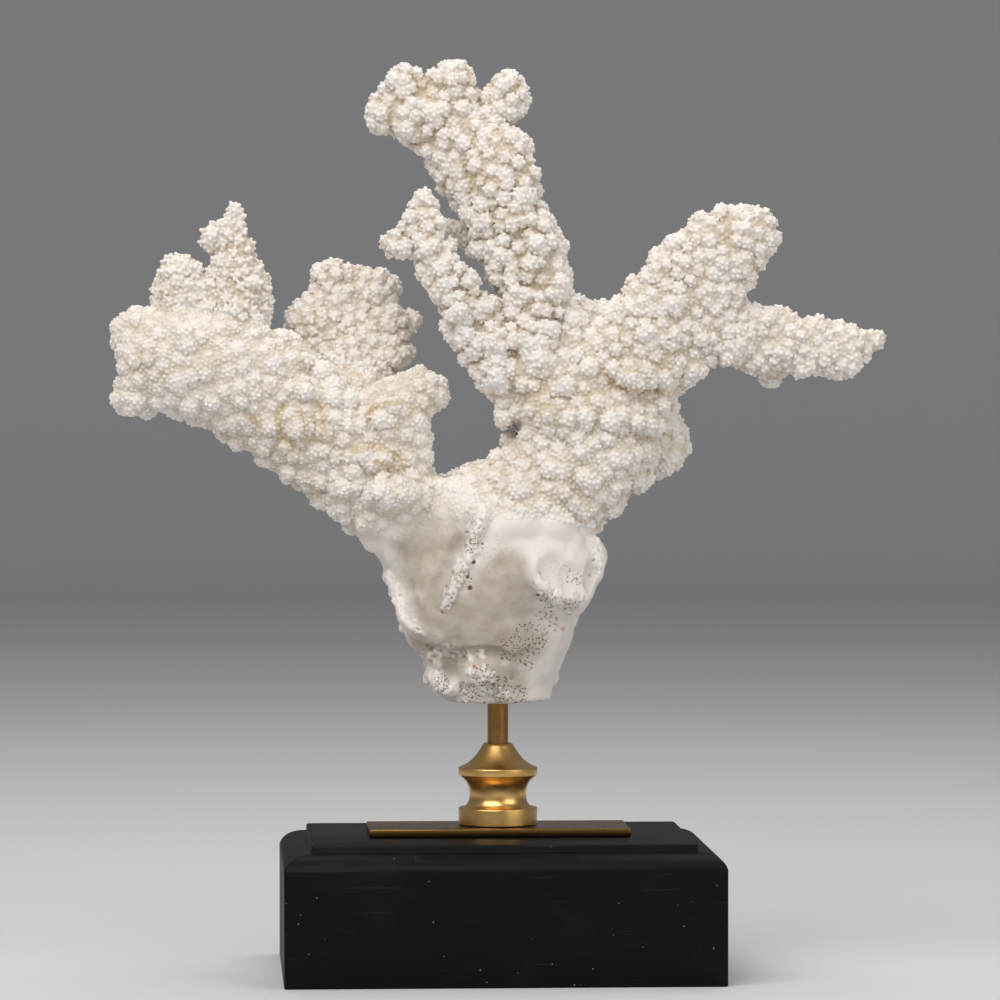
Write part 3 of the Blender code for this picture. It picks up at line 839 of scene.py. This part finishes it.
def make_coral(finish):
    rng = np.random.default_rng(GROWTH_SEED)
    corners, triangles, owners = packed_coral()
    skin = skin_of(corners, triangles)
    owner_at = nearest_piece(corners, triangles, owners)
    rough_owner_at = rough_owner(skin, owner_at)
    shape_limbs(skin, rng)
    clay = sunk_skin(skin, GRID_PITCH, rough_owner_at)
    grow_branchlets(clay, skin, rough_owner_at, rng)
    clay.values += 0.18 * waves(clay, 2.2, 3) + 0.35 * waves(clay, 7.0, 4)
    wear_foot(clay)
    for behind in (False, True):
        raise_ridges(clay, FOOT_RIDGES, 2.2, rng, behind)
        press_furrows(clay, FOOT_FURROWS, 1.5, rng, behind)
    smooth = Clay(clay.low, clay.pitch, clay.values.copy())
    for behind in (False, True):
        crumble(clay, rng, behind)
    grow_cups(clay, rough_owner_at, rng)
    trim(clay)
    corners, triangles = thinned(*largest_body(*mesh_of(clay)))
    places = corners / MM
    normals = clay.outward(places, 0.5)
    u, v = pixels_of(places)
    facing = eased(0.2 + np.abs(normals[:, 1]) * 2)
    marks = {
        "above_skin": skin.sample(places),
        "above_clay": smooth.sample(places),
        "worn": worn_at(places),
        "porous": in_spots(u, v, POROUS) * facing,
        "grainy": in_spots(u, v, GRAINY) * facing,
        # The stain lines hold painted shade in the furrows as well as stain.
        "stain_and_shade": near_lines(u, v, STAINS_AND_SHADE_LINES, STAIN_AND_SHADE_WIDTH) * facing,
        # The darker foot patches hold painted shade as well as dust.
        "dust_and_shade": in_spots(u, v, DUST_AND_SHADE_PATCHES) * facing,
        "pink": in_spots(u, v, PINK_DOTS) * (normals[:, 1] < 0),
    }
    owners = owner_at(places)[triangles]
    owner = np.where(owners[:, 1] == owners[:, 2], owners[:, 1], owners[:, 0])
    for index, name in enumerate(CORAL_NODES):
        add_coral_piece(name, corners, triangles[owner == index], normals, marks, finish)


# Materials

# Lathe lines run round the post, and drawn lines run along the plate.
LATHE_LINES = (0.02, 0.02, 5.0)
DRAWN_LINES = (0.05, 4.0, 4.0)
BRIGHT_BRASS = (0.76, 0.48, 0.175), (0.55, 0.33, 0.11)
AGED_BRASS = (0.29, 0.155, 0.05), (0.19, 0.10, 0.03)
DULL_BRASS = (0.21, 0.12, 0.038), (0.11, 0.06, 0.019)


class Wire:
    """An output that works in Python sums: every sum adds a Math node."""

    def __init__(self, paint, socket):
        self.paint = paint
        self.socket = socket

    def __add__(self, other):
        return self.paint.math("ADD", self, other)

    def __sub__(self, other):
        return self.paint.math("SUBTRACT", self, other)

    def __rsub__(self, other):
        return self.paint.math("SUBTRACT", other, self)

    def __mul__(self, other):
        return self.paint.math("MULTIPLY", self, other)

    def rises(self, start, end):
        """0 before start, 1 after end, and eased between them."""
        settings = {"interpolation_type": "SMOOTHSTEP"}
        sockets = {"Value": self, "From Min": start, "From Max": end}
        return self.paint.node("ShaderNodeMapRange", settings, sockets)

    __radd__ = __add__
    __rmul__ = __mul__


class Paint:
    """A material while it is made."""

    def __init__(self, name, **constants):
        self.material = bpy.data.materials.new(name)
        self.material.use_nodes = True
        self.tree = self.material.node_tree
        self.shader = self.tree.nodes["Principled BSDF"]
        self.finish(**constants)
        object_place = self.node("ShaderNodeTexCoord", output="Object")
        self.place = self.vector("SCALE", object_place, Scale=1 / MM)

    def node(self, kind, settings=(), sockets=(), output=0):
        """Any node: its settings are set first, then its sockets get values or links."""
        made = self.tree.nodes.new(kind)
        for name, value in dict(settings).items():
            setattr(made, name, value)
        for name, value in dict(sockets).items():
            self.feed(made.inputs[name], value)
        return Wire(self, made.outputs[output])

    def feed(self, socket, value):
        if isinstance(value, Wire):
            self.tree.links.new(value.socket, socket)
        else:
            socket.default_value = value

    def math(self, operation, *values):
        return self.node("ShaderNodeMath", {"operation": operation}, enumerate(values))

    def vector(self, operation, *values, **named):
        sockets = dict(enumerate(values), **named)
        return self.node("ShaderNodeVectorMath", {"operation": operation}, sockets)

    def colour(self, first, second, share):
        """A colour between two colours."""
        sockets = {0: share, 6: self.opaque(first), 7: self.opaque(second)}
        return self.node("ShaderNodeMix", {"data_type": "RGBA"}, sockets, output=2)

    def opaque(self, colour):
        return colour if isinstance(colour, Wire) else (*colour, 1.0)

    def mark(self, name):
        """A value kept on the mesh."""
        return self.node("ShaderNodeAttribute", {"attribute_name": name}, output="Fac")

    def stretched(self, scale):
        return self.vector("MULTIPLY", self.place, scale)

    def clouds(self, size, detail=2.0, rough=0.5, place=None):
        """Soft random values whose patches are about that many millimetres across."""
        sockets = {"Vector": place or self.place, "Scale": 1 / size, "Detail": detail}
        sockets["Roughness"] = rough
        return self.node("ShaderNodeTexNoise", sockets=sockets)

    def cells(self, size, place=None):
        """Distances to the middles of cells about that many millimetres across."""
        sockets = {"Vector": place or self.place, "Scale": 1 / size}
        return self.node("ShaderNodeTexVoronoi", sockets=sockets)

    def bump(self, height, depth, after=None):
        """Height of 0 to 1 as relief that many millimetres deep."""
        sockets = {"Height": height, "Distance": depth * MM, "Strength": 1.0}
        if after:
            sockets["Normal"] = after
        return self.node("ShaderNodeBump", sockets=sockets)

    def finish(self, **links):
        for socket, value in links.items():
            self.feed(self.shader.inputs[socket.replace("_", " ")], value)
        return self.material


def coral_finish():
    """Bleached coral: white cups with a painted highlight on their tips, cream sides, and olive tan
    crevices that are partly stain and partly painted shade.
    """
    paint = Paint(
        "bleached_coral",
        Specular_IOR_Level=0.25,
        Subsurface_Weight=0.4,
        Subsurface_Scale=0.0012,
        Subsurface_Radius=(1.0, 0.86, 0.74),
    )
    worn = paint.mark("worn")
    limb = 1 - worn
    raised = paint.mark("above_clay")
    head = paint.mark("above_skin").rises(-2.0, 0.9)
    cup = raised.rises(-0.2, 0.7)
    patches = paint.clouds(17.0, 3.0).rises(0.42, 0.66)
    # Lower parts and the gaps between cups are darker and more tan: partly stain, partly painted shade.
    crevice_stain_and_shade = (1 - head) * limb
    body = paint.colour((0.70, 0.625, 0.54), (0.80, 0.75, 0.705), head)
    body = paint.colour(body, (0.53, 0.43, 0.285), crevice_stain_and_shade * (0.35 + patches * 0.6))
    body = paint.colour(body, (0.66, 0.575, 0.465), (1 - cup) * limb * (0.15 + patches * 0.2))
    # A painted highlight on the cup tips of the heads, partly their whiter colour.
    body = paint.colour(body, (0.83, 0.80, 0.77), cup * limb * head * 0.4)
    # Stain lines: partly real tan stain, partly painted shade in the furrows.
    body = paint.colour(body, (0.50, 0.37, 0.17), paint.mark("stain_and_shade") * (1 - cup * 0.6) * 0.8)
    # The worn foot's own colour, to which painted light and shade are added below.
    worn_foot_and_painted_light = paint.colour((0.68, 0.625, 0.565), (0.80, 0.755, 0.715), paint.clouds(9.0, 3.0))
    # Darker foot patches: partly dust, partly painted shade where less light reaches the foot's middle.
    dust_and_shade = paint.mark("dust_and_shade") * (0.45 + paint.clouds(5.0, 3.0) * 0.7)
    worn_foot_and_painted_light = paint.colour(worn_foot_and_painted_light, (0.40, 0.335, 0.27), dust_and_shade)
    # Painted highlight where crumbs stand out, partly their whiter colour, and painted shade in the holes
    # below the smooth clay.
    worn_foot_and_painted_light = paint.colour(worn_foot_and_painted_light, (0.80, 0.77, 0.74), raised.rises(0.12, 0.5) * 0.65)
    worn_foot_and_painted_light = paint.colour(worn_foot_and_painted_light, (0.30, 0.23, 0.16), (1 - raised.rises(-0.5, -0.1)) * 0.8)
    body = paint.colour(body, worn_foot_and_painted_light, worn)
    flat_place = paint.stretched((1.0, 0.25, 1.0))
    ragged = paint.clouds(6.0, 3.0)
    porous = (paint.mark("porous") * 1.3 + ragged).rises(0.95, 1.35) * worn
    pits = (1 - paint.cells(0.95, place=flat_place).rises(0.2, 0.36)) * porous
    grainy = (paint.mark("grainy") * 1.3 + ragged).rises(0.85, 1.35) * worn
    grains = (1 - paint.cells(1.15, place=flat_place).rises(0.12, 0.40)) * grainy
    grime = paint.clouds(4.0, 4.0, 0.65).rises(0.45, 0.75) * porous
    body = paint.colour(body, (0.50, 0.41, 0.31), grime * 0.5)
    # Dark grains and pits: painted shade in the shallow pits and pores.
    body = paint.colour(body, (0.42, 0.34, 0.25), grains * 0.55)
    body = paint.colour(body, (0.15, 0.11, 0.08), pits * 0.8)
    body = paint.colour(body, (0.52, 0.15, 0.13), paint.mark("pink") * 0.8)
    grain = paint.clouds(0.7, 3.0, 0.6)
    relief = paint.bump(grain, 0.1)
    relief = paint.bump(1 - pits, 0.5, relief)
    return paint.finish(Base_Color=body, Roughness=0.62 - worn * 0.14, Normal=relief)


def brass_finish(name, light, dark, line_scale, line_depth):
    """Brass with fine lines, duller where it has tarnished."""
    paint = Paint(name, Metallic=1.0)
    lines = paint.clouds(1.0, 3.0, 0.7, paint.stretched(line_scale))
    tarnish = paint.clouds(7.0, 4.0, 0.6).rises(0.45, 0.75)
    return paint.finish(
        Base_Color=paint.colour(light, dark, tarnish * 0.7),
        Roughness=0.22 + tarnish * 0.12 + lines * 0.14,
        Normal=paint.bump(lines, line_depth),
    )


def block_finish():
    """Black satin paint on wood, with dust, lint and fine scratches."""
    paint = Paint("black_painted_wood", Specular_IOR_Level=0.12)
    grain = paint.clouds(1.0, 4.0, 0.6, paint.stretched((0.05, 0.5, 0.5)))
    some = paint.clouds(9.0, 1.0).rises(0.46, 0.56)
    specks = (1 - paint.cells(4.0).rises(0.035, 0.075)) * some
    lint = paint.cells(9.0, place=paint.stretched((0.25, 1.0, 1.0)))
    lint = (1 - lint.rises(0.015, 0.035)) * some
    scratches = paint.clouds(1.0, 2.0, 0.5, paint.stretched((0.03, 1.8, 1.8))).rises(0.66, 0.72)
    dust = paint.clouds(28.0, 4.0, 0.65).rises(0.5, 0.85)
    colour = paint.colour((0.0025, 0.0025, 0.0027), (0.008, 0.0077, 0.0074), dust)
    colour = paint.colour(colour, (0.05, 0.049, 0.047), scratches * 0.35)
    for fleck in (specks * 0.7, lint * 0.6):
        colour = paint.colour(colour, (0.42, 0.41, 0.39), fleck)
    rough = 0.40 + grain * 0.1 + dust * 0.12
    return paint.finish(Base_Color=colour, Roughness=rough, Normal=paint.bump(grain, 0.03))


# Stand

# The collar's flared head and its waist, as radius and drop, and how high its rim is.
COLLAR_HEAD = [
    (4.7, 0.0), (5.1, 0.25), (5.5, 1.0), (6.3, 2.3), (7.4, 3.9), (8.8, 5.5), (10.3, 6.8), (11.7, 7.6),
]
COLLAR_WAIST = [
    (12.4, 0.2), (11.4, 1.1), (10.6, 2.4), (10.1, 4.0), (9.85, 5.8), (9.9, 7.4), (10.3, 8.8),
    (11.1, 9.8), (12.0, 10.35),
]
COLLAR_RIM = 16.4

# The block's rounded shoulder, in millimetres and degrees, and its step above, as inset and height.
SHOULDER_FOOT = 39.4
SHOULDER_RISE = 5.6
SHOULDER_WIDTH = 9.0
SHOULDER_START = 8
BLOCK_STEP = [(9.2, 45.05), (9.35, 45.3), (9.4, 46.9), (9.55, 47.3), (9.95, 47.5)]


def smooth_mesh(name, shape, sharp_angle):
    """A smooth mesh with creases where its faces turn more than that many degrees."""
    mesh = bpy.data.meshes.new(name)
    shape.to_mesh(mesh)
    shape.free()
    mesh.shade_smooth()
    mesh.set_sharp_from_angle(angle=math.radians(sharp_angle))
    return mesh


def join_rings(shape, rings):
    """Faces between each ring of corners and the next."""
    for low, high in zip(rings, rings[1:]):
        for i in range(len(low)):
            j = (i + 1) % len(low)
            shape.faces.new((low[i], low[j], high[j], high[i]))


def turned_mesh(name, outline, sides):
    """Turns a closed section, as (radius, height) in millimetres, about the post."""
    shape = bmesh.new()
    columns = []
    for side in range(sides):
        angle = 2 * math.pi * side / sides
        turn = (math.cos(angle) * MM, math.sin(angle) * MM)
        columns.append([shape.verts.new((r * turn[0], r * turn[1], z * MM)) for r, z in outline])
    join_rings(shape, columns + columns[:1])
    bmesh.ops.recalc_face_normals(shape, faces=shape.faces)
    return smooth_mesh(name, shape, 35)


def arc(centre_r, centre_z, radius, start, end, steps):
    """Points of a turned fillet, from one angle to another in degrees."""
    turns = [math.radians(start + (end - start) * step / steps) for step in range(steps + 1)]
    return [(centre_r + radius * math.cos(a), centre_z + radius * math.sin(a)) for a in turns]


def make_collar(finish):
    low, high = (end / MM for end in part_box("brass_collar"))
    foot, head, edge = low[2], high[2], high[0]
    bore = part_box("brass_rod")[1][0] / MM + ROD_CLEARANCE
    rim = foot + COLLAR_RIM
    outline = [(bore, foot), (bore, head)]
    outline += [(radius, head - drop) for radius, drop in COLLAR_HEAD]
    outline += arc(edge - 0.5, rim + 3.0, 0.5, 80, 0, 4)
    outline += arc(edge - 0.5, rim + 1.0, 0.5, 0, -60, 3)
    outline += [(radius, rim - drop) for radius, drop in COLLAR_WAIST]
    outline += arc(edge - 0.5, foot + 5.5, 0.45, 85, 0, 4)
    outline += [(edge - 0.05, foot + 0.3), (edge - 0.35, foot)]
    mesh = turned_mesh("collar", outline, 96)
    place_piece("post_collar", mesh, finish, "brass_collar")


def make_rod(finish):
    low, high = (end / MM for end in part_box("brass_rod"))
    radius = high[0]
    outline = [(0.001, low[2]), (radius - 0.3, low[2]), (radius, low[2] + 0.3)]
    outline += [(radius, high[2] - 0.3), (radius - 0.3, high[2]), (0.001, high[2])]
    place_piece("post_rod", turned_mesh("rod", outline, 64), finish, "brass_rod")


def round_cornered(half_x, half_y, radius, steps=5):
    """Corners of a rectangle with rounded corners, in turn."""
    points = []
    for turn, (x, y) in enumerate(((1, 1), (-1, 1), (-1, -1), (1, -1))):
        for step in range(steps + 1):
            angle = math.pi / 2 * (turn + step / steps)
            points.append((x * (half_x - radius) + radius * math.cos(angle),
                           y * (half_y - radius) + radius * math.sin(angle)))
    return points


def stacked_mesh(name, half_x, half_y, profile, corner):
    """A block from a stack of round-cornered rings, as (inset, height) in millimetres."""
    shape = bmesh.new()
    rings = []
    for inset, z in profile:
        around = round_cornered(half_x - inset, half_y - inset, corner)
        rings.append([shape.verts.new((x * MM, y * MM, z * MM)) for x, y in around])
    join_rings(shape, rings)
    shape.faces.new(list(reversed(rings[0])))
    shape.faces.new(rings[-1])
    return smooth_mesh(name, shape, 50)


def make_block(finish):
    half_x, half_y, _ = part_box("wood_block")[1] / MM
    profile = [(0.5, 0.0), (0.15, 0.15), (0.0, 0.5), (0.0, SHOULDER_FOOT - 0.4)]
    start = math.radians(SHOULDER_START)
    for step in range(13):
        turn = math.radians(SHOULDER_START + (90 - SHOULDER_START) * step / 12)
        inset = SHOULDER_WIDTH * (math.cos(start) - math.cos(turn)) / math.cos(start)
        rise = SHOULDER_RISE * (math.sin(turn) - math.sin(start)) / (1 - math.sin(start))
        profile.append((inset, SHOULDER_FOOT + rise))
    mesh = stacked_mesh("block", half_x, half_y, profile + BLOCK_STEP, 1.0)
    place_piece("moulded_block", mesh, finish, "wood_block")


def make_plate(finish):
    low, high = (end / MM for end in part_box("brass_plate"))
    foot, head = low[2], high[2]
    profile = [(0.1, foot), (0.0, foot + 0.15), (0.0, head - 0.3), (0.12, head - 0.08), (0.35, head)]
    mesh = stacked_mesh("plate", high[0], high[1], profile, 0.4)
    place_piece("post_plate", mesh, finish, "brass_plate")


# Studio


def make_camera():
    camera = bpy.data.cameras.new("camera")
    camera.lens = LENS
    camera.sensor_width = SENSOR
    eye = add_thing("camera", camera)
    eye.location = [place * MM for place in CAMERA_PLACE]
    eye.rotation_euler = (math.pi / 2 - CAMERA_DOWN, 0.0, -CAMERA_RIGHT)
    bpy.context.scene.camera = eye


def make_studio():
    """A pale round floor whose rim curves up, and soft light from the upper left."""
    shape = bmesh.new()
    turns = [2 * math.pi * side / FLOOR_SIDES for side in range(FLOOR_SIDES)]
    rings = []
    for step in range(RIM_STEPS + 1):
        rise = math.pi / 2 * (1 - step / RIM_STEPS)
        radius = FLOOR_RADIUS + RIM_HEIGHT * math.sin(rise)
        height = RIM_HEIGHT * (1 - math.cos(rise))
        around = [(radius * math.cos(turn), radius * math.sin(turn), height) for turn in turns]
        rings.append([shape.verts.new(place) for place in around])
    join_rings(shape, rings)
    shape.faces.new(rings[-1])
    mesh = smooth_mesh("studio_floor", shape, 50)
    paper = Paint("studio_paper", Base_Color=(0.62, 0.62, 0.625, 1.0), Roughness=0.85)
    add_thing("studio_floor", mesh, paper.material)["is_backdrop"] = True
    for name, (place, aim, size, power, colour) in SOFTBOXES.items():
        light = bpy.data.lights.new(name, "AREA")
        light.shape = "RECTANGLE"
        light.size, light.size_y = size
        light.energy = power
        light.color = colour
        lamp = add_thing(name, light)
        lamp.location = place
        lamp.rotation_euler = (Vector(aim) - Vector(place)).to_track_quat("-Z", "Y").to_euler()
    world = bpy.data.worlds.new("studio")
    world.use_nodes = True
    backing = world.node_tree.nodes["Background"]
    backing.inputs["Color"].default_value = (0.9, 0.92, 0.95, 1.0)
    backing.inputs["Strength"].default_value = 0.22
    bpy.context.scene.world = world
    bpy.context.scene.view_settings.view_transform = "Standard"


def write_sizes():
    boxes = {"cad": CAD_BOX, "visual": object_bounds()}
    plain = {name: [list(low), list(high)] for name, (low, high) in boxes.items()}


make_camera()
make_studio()
make_coral(coral_finish())
make_collar(brass_finish("turned_brass", *BRIGHT_BRASS, LATHE_LINES, 0.02))
make_rod(brass_finish("aged_brass", *AGED_BRASS, LATHE_LINES, 0.02))
make_plate(brass_finish("drawn_brass", *DULL_BRASS, DRAWN_LINES, 0.015))
make_block(block_finish())
write_sizes()
